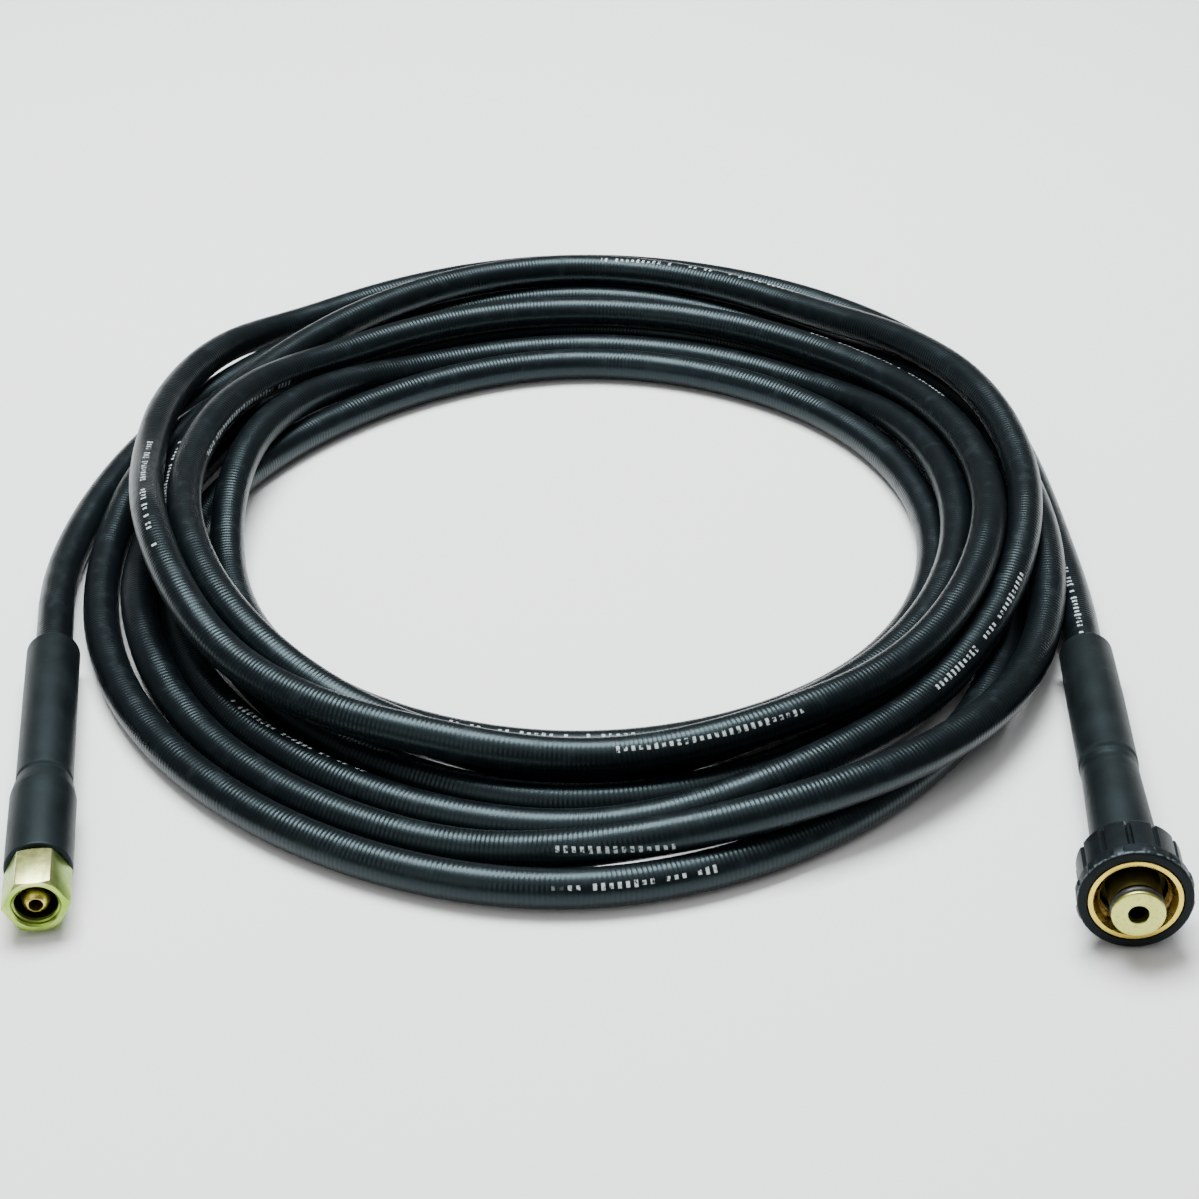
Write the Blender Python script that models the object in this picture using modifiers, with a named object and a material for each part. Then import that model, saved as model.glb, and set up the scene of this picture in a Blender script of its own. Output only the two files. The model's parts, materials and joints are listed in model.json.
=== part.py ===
"""A pressure washer hose, lying in a loose coil with a swivel fitting on each end.

Metres, with +Z up and the floor at Z 0. +X is to the right and +Y points away from the fittings.
"""

import math

import bmesh
import bpy
import numpy as np
from mathutils import Matrix, Vector

# The hose
HOSE_DIAMETER = 0.0120
HOSE_END_BORE = 0.0068
HOSE_SEAT_DEPTH = 0.0260

# How the hose lies. Each row is one turn, read clockwise from above, and each
# value is the distance from the coil's centre at W, NW, N, NE, E, SE, S and SW.
COIL_RADII = (
    (0.1766, 0.182, 0.205, 0.184, 0.152, 0.172, 0.1985, 0.1815),
    (0.1638, 0.169, 0.191, 0.1712, 0.162, 0.180, 0.1865, 0.1686),
    (0.1508, 0.1545, 0.163, 0.157, 0.1392, 0.147, 0.158, 0.143),
    (0.1428, 0.163, 0.197, 0.1695, 0.157, 0.158, 0.171, 0.1558),
    (0.1366, 0.1255, 0.1315, 0.130, 0.1264, 0.129, 0.131, 0.127),
    (0.1238, 0.136, 0.1445, 0.1426, 0.134, 0.1375, 0.144, 0.1395),
    (0.137, 0.148, 0.157, 0.152, 0.144, 0.148, 0.152, 0.1522),
    (0.151, 0.193, 0.222, 0.199, 0.169),
)
STATIONS_PER_TURN = 8
LEFT_RUN_OUT = ((-0.1740, -0.0600), (-0.1775, -0.0300))
RIGHT_RUN_OUT = ((0.1695, -0.0400),)
STRAND_CLEARANCE = 0.0006
HUMP_RADIUS = 0.080
SAME_STRETCH = 0.100
# Stretches that lie under the rest of the coil, in turns counted from the left fitting
TUCKED_TURNS = ((3.90, 4.22), (7.38, 8.0))
# The highest pile of strands that a hump may bridge down from, in hose diameters
HIGHEST_PILE = 6
SAMPLES_PER_SPAN = 24
ROUTE_STEP = 0.006
STEPS_PER_POINT = 4
LAYING_PASSES = 10
EASING_PASSES = 4

# Where the hose's two straight ends begin, and how far each fitting turns inwards
LEFT_END_START = (-0.1716, -0.0754)
LEFT_TURN_IN = math.radians(8.7)
RIGHT_END_START = (0.1675, -0.0763)
RIGHT_TURN_IN = math.radians(4.1)
SLEEVE_LEAD_IN = 0.010
LEAD_IN_STEPS = 2
FLOOR_CLEARANCE = 0.0001

# The rubber sleeves over the hose's ends
SEAT_GAP = 0.0003
# How far along the straight end the sleeve begins
SLEEVE_BEGIN = 0.006
SLEEVE_LENGTH = 0.116
SLEEVE_SLIM_WALL = 0.0023
SLEEVE_END_ROUND = 0.0018
LEFT_SLIM_LENGTH = 0.074
LEFT_SHOULDER_LENGTH = 0.008
LEFT_THICK_WALL = 0.0036
RIGHT_SLIM_LENGTH = 0.068
RIGHT_BELLY_WALL = 0.0027
RIGHT_SHOULDER_LENGTH = 0.004
RIGHT_MOUTH_WALL = 0.0035

# What both nipples share
SLEEVE_TO_NUT = 0.0006
HOSE_END_SETBACK = 0.0140
TAIL_DIAMETER = 0.0062
TAIL_BORE = 0.0040
TAIL_LENGTH = 0.0250
SHOULDER_DIAMETER = 0.0118

# The left fitting: a hex nut that turns on a ball-nosed nipple
HEX_ACROSS_FLATS = 0.0170
HEX_LENGTH = 0.0160
HEX_CHAMFER = 0.0012
HEX_THREAD_BORE = 0.0134
HEX_MOUTH_CHAMFER = 0.0005
HEX_BACK_WALL = 0.0040
# A corner would point up, so this turns a flat there
HEX_TURN = math.radians(30)
LEFT_NECK_DIAMETER = 0.0086
SWIVEL_GAP = 0.0003
LEFT_COLLAR_LENGTH = 0.0030
LEFT_CONE_LENGTH = 0.0034
BALL_DIAMETER = 0.0082
BALL_RECESS = 0.0002
BALL_BORE = 0.0042
BALL_NOSE_ANGLE = math.radians(56)

# The right fitting: a plastic hand nut, moulded round a brass insert, that turns on a plain pin
HAND_NUT_LENGTH = 0.0190
HAND_NUT_GRIP_DIAMETER = 0.0296
HAND_NUT_FLANGE_DIAMETER = 0.0324
HAND_NUT_FLANGE_LENGTH = 0.0050
HAND_NUT_ROUND = 0.0014
HAND_NUT_BACK_WALL = 0.0028
GRIP_PADS = 12
GRIP_GROOVE_WIDTH = 0.0013
GRIP_GROOVE_DEPTH = 0.0009
# How far the top pad and its lug are turned from straight up
GRIP_TURN = math.radians(-7)
LUG_WIDTH = 0.0036
LUG_LENGTH = 0.0026
LUG_HEIGHT = 0.0004
INSERT_DIAMETER = 0.0264
INSERT_MOUTH = 0.0236
INSERT_THREAD_BORE = 0.0206
INSERT_MOUTH_CHAMFER = 0.0020
INSERT_BACK_WALL = 0.0030
RIGHT_NECK_DIAMETER = 0.0130
RIGHT_COLLAR_DIAMETER = 0.0186
RIGHT_COLLAR_LENGTH = 0.0040
PIN_DIAMETER = 0.0150
PIN_PROTRUSION = 0.0065
PIN_CHAMFER = 0.0006
PIN_BORE = 0.0058
PIN_BORE_DEPTH = 0.0220
O_RING_SECTION = 0.0024
O_RING_SETBACK = 0.0010
O_RING_STAND_OUT = 0.0002

ROUND_STEPS = 40
SLEEVE_STEPS = 28
SMALL_STEPS = 24
SEAT_STEPS = 16
SMOOTH_ANGLE = math.radians(35)

HOSE_RADIUS = HOSE_DIAMETER / 2
SLEEVE_BORE_RADIUS = HOSE_RADIUS + SEAT_GAP
SLEEVE_SLIM_RADIUS = SLEEVE_BORE_RADIUS + SLEEVE_SLIM_WALL
LEFT_THICK_RADIUS = SLEEVE_BORE_RADIUS + LEFT_THICK_WALL
HAND_NUT_REACH = HAND_NUT_FLANGE_DIAMETER / 2 + LUG_HEIGHT
SLEEVE_MOUTH = SLEEVE_BEGIN + SLEEVE_LENGTH
LEFT_SLIM_END = SLEEVE_BEGIN + LEFT_SLIM_LENGTH
RIGHT_SLIM_END = SLEEVE_BEGIN + RIGHT_SLIM_LENGTH
HOSE_END = SLEEVE_MOUTH - HOSE_END_SETBACK
NUT_START = SLEEVE_MOUTH + SLEEVE_TO_NUT


def clear_scene():
    for old in list(bpy.data.objects):
        bpy.data.objects.remove(old)


def new_collection(name):
    collection = bpy.data.collections.new(name)
    bpy.context.scene.collection.children.link(collection)
    return collection


def finish(name, colour, roughness, metallic=0.0):
    """A Principled material of one colour."""
    material = bpy.data.materials.new(name)
    material.use_nodes = True
    shader = material.node_tree.nodes["Principled BSDF"]
    shader.inputs["Base Color"].default_value = (*colour, 1.0)
    shader.inputs["Roughness"].default_value = roughness
    shader.inputs["Metallic"].default_value = metallic
    return material


def place(name, data, collection, frame=None):
    piece = bpy.data.objects.new(name, data)
    collection.objects.link(piece)
    if frame is not None:
        piece.matrix_world = frame
    return piece


def settle(piece, material):
    """Turns the piece's curve or modifiers into its own mesh, smooth on its round faces."""
    bpy.context.view_layer.update()
    graph = bpy.context.evaluated_depsgraph_get()
    mesh = bpy.data.meshes.new_from_object(piece.evaluated_get(graph))
    weld = bmesh.new()
    weld.from_mesh(mesh)
    bmesh.ops.remove_doubles(weld, verts=weld.verts, dist=1e-6)
    weld.to_mesh(mesh)
    weld.free()
    name = piece.name
    collection = piece.users_collection[0]
    frame = piece.matrix_world.copy()
    bpy.data.objects.remove(piece)
    mesh.name = name
    mesh.materials.clear()
    mesh.materials.append(material)
    mesh.shade_smooth()
    mesh.set_sharp_from_angle(angle=SMOOTH_ANGLE)
    return place(name, mesh, collection, frame)


def turned(name, profile, steps, collection, frame):
    """A ring about the local Z axis. Its closed profile, as radius and distance along
    the axis, runs down the outer side and back up the bore."""
    mesh = bpy.data.meshes.new(name)
    points = [(radius, 0.0, along) for radius, along in profile]
    edges = [(index, (index + 1) % len(points)) for index in range(len(points))]
    mesh.from_pydata(points, edges, [])
    piece = place(name, mesh, collection, frame)
    turn = piece.modifiers.new("turn", "SCREW")
    turn.axis = "Z"
    turn.steps = turn.render_steps = steps
    turn.use_merge_vertices = True
    turn.merge_threshold = 1e-6
    return piece


def cut(piece, tool, operation):
    """Adds a Boolean with the tool, which stays out of the render."""
    boolean = piece.modifiers.new(tool.name, "BOOLEAN")
    boolean.operation = operation
    boolean.object = tool
    tool.hide_render = True
    tool.display_type = "WIRE"


def boxes_round(name, count, size, radius, along, turn, collection, frame):
    """Like boxes at even angles round the local Z axis, joined in one tool."""
    mesh = bpy.data.meshes.new(name)
    tool = bmesh.new()
    for index in range(count):
        spin = Matrix.Rotation(turn + index * math.tau / count, 4, "Z")
        shift = Matrix.Translation((radius, 0.0, along))
        scale = Matrix.Diagonal((*size, 1.0))
        bmesh.ops.create_cube(tool, size=1.0, matrix=spin @ shift @ scale)
    tool.to_mesh(mesh)
    tool.free()
    return place(name, mesh, collection, frame)


def drum(name, radius, length, sides, turn, collection, frame):
    """A prism or cylinder that stands on the local origin along Z."""
    mesh = bpy.data.meshes.new(name)
    tool = bmesh.new()
    matrix = Matrix.Translation((0.0, 0.0, length / 2)) @ Matrix.Rotation(turn, 4, "Z")
    bmesh.ops.create_cone(
        tool, cap_ends=True, segments=sides, radius1=radius, radius2=radius, depth=length, matrix=matrix
    )
    tool.to_mesh(mesh)
    tool.free()
    return place(name, mesh, collection, frame)


def arc(centre, radius, start, end, count):
    """Points on a circle in a profile, as radius and distance along the axis."""
    angles = [start + (end - start) * index / count for index in range(count + 1)]
    return [(centre[0] + radius * math.cos(a), centre[1] + radius * math.sin(a)) for a in angles]


def smooth_curve(points, start_heading, end_heading, step):
    """A cubic spline through plan points, with its headings fixed at both ends, read at even steps."""
    points = np.array(points)
    spans = np.hypot(*np.diff(points, axis=0).T)
    count = len(points)
    system = np.eye(count)
    wanted = np.zeros((count, 2))
    wanted[0] = start_heading
    wanted[-1] = end_heading
    for index in range(1, count - 1):
        before, after = spans[index - 1], spans[index]
        system[index, index - 1 : index + 2] = after, 2 * (before + after), before
        back = (points[index] - points[index - 1]) / before
        ahead = (points[index + 1] - points[index]) / after
        wanted[index] = 3 * (after * back + before * ahead)
    headings = np.linalg.solve(system, wanted)
    parts = []
    t = np.linspace(0.0, 1.0, SAMPLES_PER_SPAN, endpoint=False)[:, None]
    for index, span in enumerate(spans):
        hermite = (
            (2 * t**3 - 3 * t**2 + 1) * points[index]
            + (t**3 - 2 * t**2 + t) * span * headings[index]
            + (3 * t**2 - 2 * t**3) * points[index + 1]
            + (t**3 - t**2) * span * headings[index + 1]
        )
        parts.append(hermite)
    fine = np.vstack([*parts, points[-1:]])
    along = np.concatenate([[0.0], np.cumsum(np.hypot(*np.diff(fine, axis=0).T))])
    even = np.linspace(0.0, along[-1], round(along[-1] / step) + 1)
    return np.column_stack([np.interp(even, along, fine[:, side]) for side in (0, 1)])


def coil_points():
    """The coil's stations in plan, turn by turn and clockwise from the west."""
    points = []
    for radii in COIL_RADII:
        for station, radius in enumerate(radii):
            angle = math.pi - station * math.tau / STATIONS_PER_TURN
            points.append((radius * math.cos(angle), radius * math.sin(angle)))
    return points


def outward(turn_in, side):
    """The plan heading out of a fitting's mouth, for the left side -1 and the right side 1."""
    return np.array([-side * math.sin(turn_in), -math.cos(turn_in)])


def lay_down(plan, left_ramp, right_ramp):
    """Heights of the hose's centre line. Each stretch rests on the floor or on the stretches laid
    before it, and bridges down from them in long humps. The tucked stretches count as laid first.
    Each ramp is the height and slope with which the hose enters a sleeve."""
    count = len(plan)
    index = np.arange(count)
    offset = plan[:, None] - plan[None]
    apart = np.hypot(offset[..., 0], offset[..., 1])
    spacing = HOSE_DIAMETER + STRAND_CLEARANCE
    lift = np.sqrt(np.clip(spacing**2 - apart**2, 0.0, None))
    bearing = np.unwrap(np.arctan2(plan[:, 1], plan[:, 0]))
    turns = (bearing[0] - bearing) / math.tau
    tucked = sum((turns > first) & (turns < last) for first, last in TUCKED_TURNS) > 0
    laid = np.where(tucked, index - count, index)
    elsewhere = abs(index[None] - index[:, None]) * ROUTE_STEP > SAME_STRETCH
    rests_on = (laid[None] < laid[:, None]) & (apart < spacing) & elsewhere
    least = np.full(count, HOSE_RADIUS)
    for steps, (height, slope) in ((index, left_ramp), (count - 1 - index, right_ramp)):
        near = steps <= LEAD_IN_STEPS
        least[near] = height - slope * ROUTE_STEP * steps[near]
    heights = least
    reach = round(math.sqrt(2 * HUMP_RADIUS * HIGHEST_PILE * HOSE_DIAMETER) / ROUTE_STEP)
    for _ in range(LAYING_PASSES):
        need = np.maximum(np.where(rests_on, heights[None] + lift, 0.0).max(axis=1), least)
        heights = need.copy()
        for steps in range(1, reach):
            drop = (steps * ROUTE_STEP) ** 2 / (2 * HUMP_RADIUS)
            heights[steps:] = np.maximum(heights[steps:], need[:-steps] - drop)
            heights[:-steps] = np.maximum(heights[:-steps], need[steps:] - drop)
        for _ in range(EASING_PASSES):
            eased = heights.copy()
            eased[2:-2] = sum(heights[shift : count - 4 + shift] for shift in range(5)) / 5
            heights = np.maximum(need, eased)
    return heights


def end_frame(start, turn_in, side, height, tilt):
    """A fitting's frame: its origin where the sleeve starts, local Z out of the mouth, local Y upwards."""
    level = outward(turn_in, side)
    out = Vector((level[0] * math.cos(tilt), level[1] * math.cos(tilt), math.sin(tilt)))
    across = Vector((-level[1], level[0], 0.0))
    up = out.cross(across)
    frame = Matrix((across, up, out)).transposed().to_4x4()
    frame.translation = (start[0], start[1], height)
    return frame


def make_hose(left, right, collection, cutters, material):
    """One tube along the whole route, with a blind seat in each end for a nipple's tail."""
    entries = [frame @ Vector((0.0, 0.0, -SLEEVE_LEAD_IN)) for frame in (left, right)]
    slopes = [math.tan(math.asin(frame.col[2].z)) for frame in (left, right)]
    points = [entries[0][:2], *LEFT_RUN_OUT, *coil_points(), *RIGHT_RUN_OUT, entries[1][:2]]
    into_coil = -outward(LEFT_TURN_IN, -1)
    out_of_coil = outward(RIGHT_TURN_IN, 1)
    plan = smooth_curve(points, into_coil, out_of_coil, ROUTE_STEP)
    heights = lay_down(plan, (entries[0].z, slopes[0]), (entries[1].z, slopes[1]))
    route = np.column_stack([plan, heights])
    kept = list(range(0, len(route) - STEPS_PER_POINT // 2, STEPS_PER_POINT)) + [len(route) - 1]
    ends = [frame @ Vector((0.0, 0.0, HOSE_END)) for frame in (left, right)]
    points = [ends[0], *route[kept], ends[1]]

    curve = bpy.data.curves.new("hose", "CURVE")
    curve.dimensions = "3D"
    curve.twist_mode = "Z_UP"
    curve.bevel_depth = HOSE_RADIUS
    curve.bevel_resolution = 2
    curve.use_fill_caps = True
    spline = curve.splines.new("POLY")
    spline.points.add(len(points) - 1)
    for point, place_at in zip(spline.points, points):
        point.co = (*place_at, 1.0)
    hose = settle(place("hose", curve, collection), material)
    for name, frame in (("left_seat", left), ("right_seat", right)):
        mouth = frame @ Matrix.Translation((0.0, 0.0, HOSE_END - HOSE_SEAT_DEPTH))
        seat = drum(name, HOSE_END_BORE / 2, 2 * HOSE_SEAT_DEPTH, SEAT_STEPS, 0.0, cutters, mouth)
        cut(hose, seat, "DIFFERENCE")
    return hose


def sleeve_profile(outer):
    """A sleeve's closed profile from the radii of its outer side, listed from the nut back to the coil."""
    middle = (SLEEVE_SLIM_RADIUS - SLEEVE_END_ROUND, SLEEVE_BEGIN + SLEEVE_END_ROUND)
    rounding = arc(middle, SLEEVE_END_ROUND, 0.0, -math.pi / 2, 3)
    return [*outer, *rounding, (SLEEVE_BORE_RADIUS, SLEEVE_BEGIN), (SLEEVE_BORE_RADIUS, SLEEVE_MOUTH)]


def make_left_sleeve(collection, frame, material):
    """Slim over the hose, with a shoulder up to the thick part next to the nut."""
    outer = [
        (LEFT_THICK_RADIUS, SLEEVE_MOUTH),
        (LEFT_THICK_RADIUS, LEFT_SLIM_END + LEFT_SHOULDER_LENGTH),
        (SLEEVE_SLIM_RADIUS, LEFT_SLIM_END),
    ]
    settle(turned("sleeve_left", sleeve_profile(outer), SLEEVE_STEPS, collection, frame), material)


def make_right_sleeve(collection, frame, material):
    """Swells a little along the hose, steps in, and flares towards the hand nut."""
    belly = SLEEVE_BORE_RADIUS + RIGHT_BELLY_WALL
    outer = [
        (SLEEVE_BORE_RADIUS + RIGHT_MOUTH_WALL, SLEEVE_MOUTH),
        (SLEEVE_SLIM_RADIUS, RIGHT_SLIM_END + RIGHT_SHOULDER_LENGTH),
        (belly, RIGHT_SLIM_END),
        (belly, RIGHT_SLIM_END / 2),
    ]
    settle(turned("sleeve_right", sleeve_profile(outer), SLEEVE_STEPS, collection, frame), material)


def tail_profile():
    """The part of a nipple that both fittings share: the tail in the hose and the shoulder behind the
    nut, as the end of a closed profile that comes down the outer side and goes back up the bore."""
    seat = HOSE_END + SEAT_GAP
    return [
        (SHOULDER_DIAMETER / 2, seat),
        (TAIL_DIAMETER / 2, seat),
        (TAIL_DIAMETER / 2, HOSE_END - TAIL_LENGTH),
        (TAIL_BORE / 2, HOSE_END - TAIL_LENGTH),
    ]


def make_left_nipple(collection, frame, material):
    """A steel nipple whose collar holds the hex nut and whose ball nose seals in its mouth."""
    collar = NUT_START + HEX_BACK_WALL + SWIVEL_GAP
    cone = collar + LEFT_COLLAR_LENGTH
    tip = NUT_START + HEX_LENGTH - BALL_RECESS
    nose = arc((0.0, tip - BALL_DIAMETER / 2), BALL_DIAMETER / 2, BALL_NOSE_ANGLE, 0.0, 5)
    profile = [
        (BALL_BORE / 2, nose[0][1]),
        *nose,
        (BALL_DIAMETER / 2, cone + LEFT_CONE_LENGTH),
        (HEX_THREAD_BORE / 2 - SWIVEL_GAP, cone),
        (HEX_THREAD_BORE / 2 - SWIVEL_GAP, collar),
        (LEFT_NECK_DIAMETER / 2, collar),
        (LEFT_NECK_DIAMETER / 2, NUT_START - SLEEVE_TO_NUT),
        (SHOULDER_DIAMETER / 2, NUT_START - SLEEVE_TO_NUT),
        *tail_profile(),
        (TAIL_BORE / 2, SLEEVE_MOUTH),
        (BALL_BORE / 2, SLEEVE_MOUTH),
    ]
    settle(turned("nipple_left", profile, SMALL_STEPS, collection, frame), material)


def make_hex_nut(collection, cutters, frame, material):
    """A swivel nut turned inside and at its ends, with six flats."""
    front = NUT_START + HEX_LENGTH
    corner = HEX_ACROSS_FLATS / math.sqrt(3)
    bore = HEX_THREAD_BORE / 2
    floor = NUT_START + HEX_BACK_WALL
    rise = HEX_CHAMFER * math.tan(math.radians(30))
    profile = [
        (corner - HEX_CHAMFER, front),
        (corner + SEAT_GAP, front - rise - SEAT_GAP),
        (corner + SEAT_GAP, NUT_START + rise + SEAT_GAP),
        (corner - HEX_CHAMFER, NUT_START),
        (LEFT_NECK_DIAMETER / 2 + SWIVEL_GAP, NUT_START),
        (LEFT_NECK_DIAMETER / 2 + SWIVEL_GAP, floor),
        (bore, floor),
        (bore, front - HEX_MOUTH_CHAMFER),
        (bore + HEX_MOUTH_CHAMFER, front),
    ]
    nut = turned("hex_nut", profile, ROUND_STEPS, collection, frame)
    flats_frame = frame @ Matrix.Translation((0.0, 0.0, NUT_START - SLEEVE_TO_NUT))
    flats_length = HEX_LENGTH + 2 * SLEEVE_TO_NUT
    flats = drum("hex_flats", corner, flats_length, 6, HEX_TURN, cutters, flats_frame)
    cut(nut, flats, "INTERSECT")
    settle(nut, material)


def make_hand_nut(collection, cutters, frame, material):
    """The plastic nut: grooved grip pads, a round flange with a lug at each pad, and a back wall."""
    front = NUT_START + HAND_NUT_LENGTH
    grip = HAND_NUT_GRIP_DIAMETER / 2
    flange = HAND_NUT_FLANGE_DIAMETER / 2
    flange_start = front - HAND_NUT_FLANGE_LENGTH
    pocket = INSERT_DIAMETER / 2 + SEAT_GAP
    floor = NUT_START + HAND_NUT_BACK_WALL
    neck_hole = RIGHT_NECK_DIAMETER / 2 + SWIVEL_GAP
    profile = [
        *arc((flange - HAND_NUT_ROUND, front - HAND_NUT_ROUND), HAND_NUT_ROUND, math.pi / 2, 0.0, 4),
        (flange, flange_start + HAND_NUT_ROUND / 2),
        (flange - HAND_NUT_ROUND / 2, flange_start),
        (grip, flange_start),
        (grip, NUT_START + HAND_NUT_ROUND),
        (grip - HAND_NUT_ROUND, NUT_START),
        (neck_hole, NUT_START),
        (neck_hole, floor),
        (pocket, floor),
        (pocket, front),
    ]
    nut = turned("hand_nut", profile, ROUND_STEPS, collection, frame)
    pad_middle = math.pi / 2 + GRIP_TURN
    groove_middle = pad_middle + math.pi / GRIP_PADS
    groove_length = HAND_NUT_LENGTH - HAND_NUT_FLANGE_LENGTH - HAND_NUT_ROUND / 2
    groove_size = (2 * GRIP_GROOVE_DEPTH, GRIP_GROOVE_WIDTH, 2 * groove_length)
    grooves = boxes_round(
        "grip_grooves", GRIP_PADS, groove_size, grip, NUT_START, groove_middle, cutters, frame
    )
    cut(nut, grooves, "DIFFERENCE")
    lug_depth = flange + LUG_HEIGHT - grip
    lug_size = (lug_depth, LUG_WIDTH, LUG_LENGTH)
    lug_along = front - HAND_NUT_ROUND - LUG_LENGTH / 2
    lugs = boxes_round(
        "flange_lugs", GRIP_PADS, lug_size, grip + lug_depth / 2, lug_along, pad_middle, cutters, frame
    )
    cut(nut, lugs, "UNION")
    settle(nut, material)


def make_nut_insert(collection, frame, material):
    """The brass ring with the female thread, held in the plastic nut."""
    front = NUT_START + HAND_NUT_LENGTH
    back = NUT_START + HAND_NUT_BACK_WALL + SEAT_GAP
    outer = INSERT_DIAMETER / 2
    bore = INSERT_THREAD_BORE / 2
    profile = [
        (outer, front),
        (outer, back),
        (RIGHT_NECK_DIAMETER / 2 + SWIVEL_GAP, back),
        (RIGHT_NECK_DIAMETER / 2 + SWIVEL_GAP, back + INSERT_BACK_WALL),
        (bore, back + INSERT_BACK_WALL),
        (bore, front - INSERT_MOUTH_CHAMFER),
        (INSERT_MOUTH / 2, front),
    ]
    settle(turned("nut_insert", profile, ROUND_STEPS, collection, frame), material)


def make_right_nipple(collection, frame, material):
    """A nipple whose collar holds the hand nut and whose plain pin carries the O-ring."""
    collar = NUT_START + HAND_NUT_BACK_WALL + SEAT_GAP + INSERT_BACK_WALL + SWIVEL_GAP
    face = NUT_START + HAND_NUT_LENGTH + PIN_PROTRUSION
    pin = PIN_DIAMETER / 2
    groove_front = face - O_RING_SETBACK
    groove_back = groove_front - O_RING_SECTION - 2 * SEAT_GAP
    groove_floor = pin + O_RING_STAND_OUT - O_RING_SECTION - SEAT_GAP
    profile = [
        (pin - PIN_CHAMFER, face),
        (pin, face - PIN_CHAMFER),
        (pin, groove_front),
        (groove_floor, groove_front),
        (groove_floor, groove_back),
        (pin, groove_back),
        (pin, collar + RIGHT_COLLAR_LENGTH),
        (RIGHT_COLLAR_DIAMETER / 2, collar + RIGHT_COLLAR_LENGTH),
        (RIGHT_COLLAR_DIAMETER / 2, collar),
        (RIGHT_NECK_DIAMETER / 2, collar),
        (RIGHT_NECK_DIAMETER / 2, NUT_START - SLEEVE_TO_NUT),
        (SHOULDER_DIAMETER / 2, NUT_START - SLEEVE_TO_NUT),
        *tail_profile(),
        (TAIL_BORE / 2, face - PIN_BORE_DEPTH),
        (PIN_BORE / 2, face - PIN_BORE_DEPTH),
        (PIN_BORE / 2, face),
    ]
    settle(turned("nipple_right", profile, SMALL_STEPS, collection, frame), material)


def make_o_ring(collection, frame, material):
    """The rubber ring in the pin's groove."""
    section = O_RING_SECTION / 2
    middle = PIN_DIAMETER / 2 + O_RING_STAND_OUT - section
    face = NUT_START + HAND_NUT_LENGTH + PIN_PROTRUSION
    along = face - O_RING_SETBACK - SEAT_GAP - section
    around = arc((middle, along), section, math.pi / 2, math.pi / 2 - math.tau, 8)[:-1]
    settle(turned("o_ring", around, SMALL_STEPS, collection, frame), material)


def centre_on_floor(collection):
    """Moves every piece so that the origin is under the middle of the whole and the lowest point is at 0."""
    bpy.context.view_layer.update()
    corners = []
    for piece in collection.objects:
        points = np.empty(len(piece.data.vertices) * 3)
        piece.data.vertices.foreach_get("co", points)
        frame = np.array(piece.matrix_world)
        corners.append(points.reshape(-1, 3) @ frame[:3, :3].T + frame[:3, 3])
    corners = np.vstack(corners)
    low, high = corners.min(axis=0), corners.max(axis=0)
    shift = Vector((-(low[0] + high[0]) / 2, -(low[1] + high[1]) / 2, -low[2]))
    for piece in bpy.data.objects:
        piece.location += shift


def main():
    clear_scene()
    parts = new_collection("pressure_washer_hose")
    cutters = new_collection("cutters")
    cutters.hide_render = True

    hose_rubber = finish("hose_rubber", (0.045, 0.052, 0.056), 0.42)
    sleeve_rubber = finish("sleeve_rubber", (0.040, 0.046, 0.050), 0.62)
    nut_plastic = finish("nut_plastic", (0.030, 0.034, 0.038), 0.50)
    seal_rubber = finish("seal_rubber", (0.015, 0.015, 0.016), 0.45)
    plated_steel = finish("plated_steel", (0.66, 0.67, 0.42), 0.30, 1.0)
    brass = finish("brass", (0.83, 0.66, 0.34), 0.28, 1.0)

    # The slim end of each sleeve and the widest part ahead of it touch the floor, which tilts each fitting.
    slim_height = SLEEVE_SLIM_RADIUS + FLOOR_CLEARANCE
    left_rise = LEFT_THICK_RADIUS - SLEEVE_SLIM_RADIUS
    left_tilt = math.asin(left_rise / (LEFT_SLIM_END + LEFT_SHOULDER_LENGTH))
    left = end_frame(LEFT_END_START, LEFT_TURN_IN, -1, slim_height, left_tilt)
    right_rise = HAND_NUT_REACH - SLEEVE_SLIM_RADIUS
    right_tilt = math.asin(right_rise / (NUT_START + HAND_NUT_LENGTH - HAND_NUT_FLANGE_LENGTH))
    right = end_frame(RIGHT_END_START, RIGHT_TURN_IN, 1, slim_height, right_tilt)

    hose = make_hose(left, right, parts, cutters, hose_rubber)
    make_left_sleeve(parts, left, sleeve_rubber)
    make_left_nipple(parts, left, plated_steel)
    make_hex_nut(parts, cutters, left, plated_steel)
    make_right_sleeve(parts, right, sleeve_rubber)
    make_hand_nut(parts, cutters, right, nut_plastic)
    make_nut_insert(parts, right, brass)
    make_right_nipple(parts, right, plated_steel)
    make_o_ring(parts, right, seal_rubber)
    settle(hose, hose_rubber)
    centre_on_floor(parts)


main()
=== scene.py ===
import json
import math

import bmesh
import bpy
import numpy as np
from mathutils import Matrix, Vector


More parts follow.
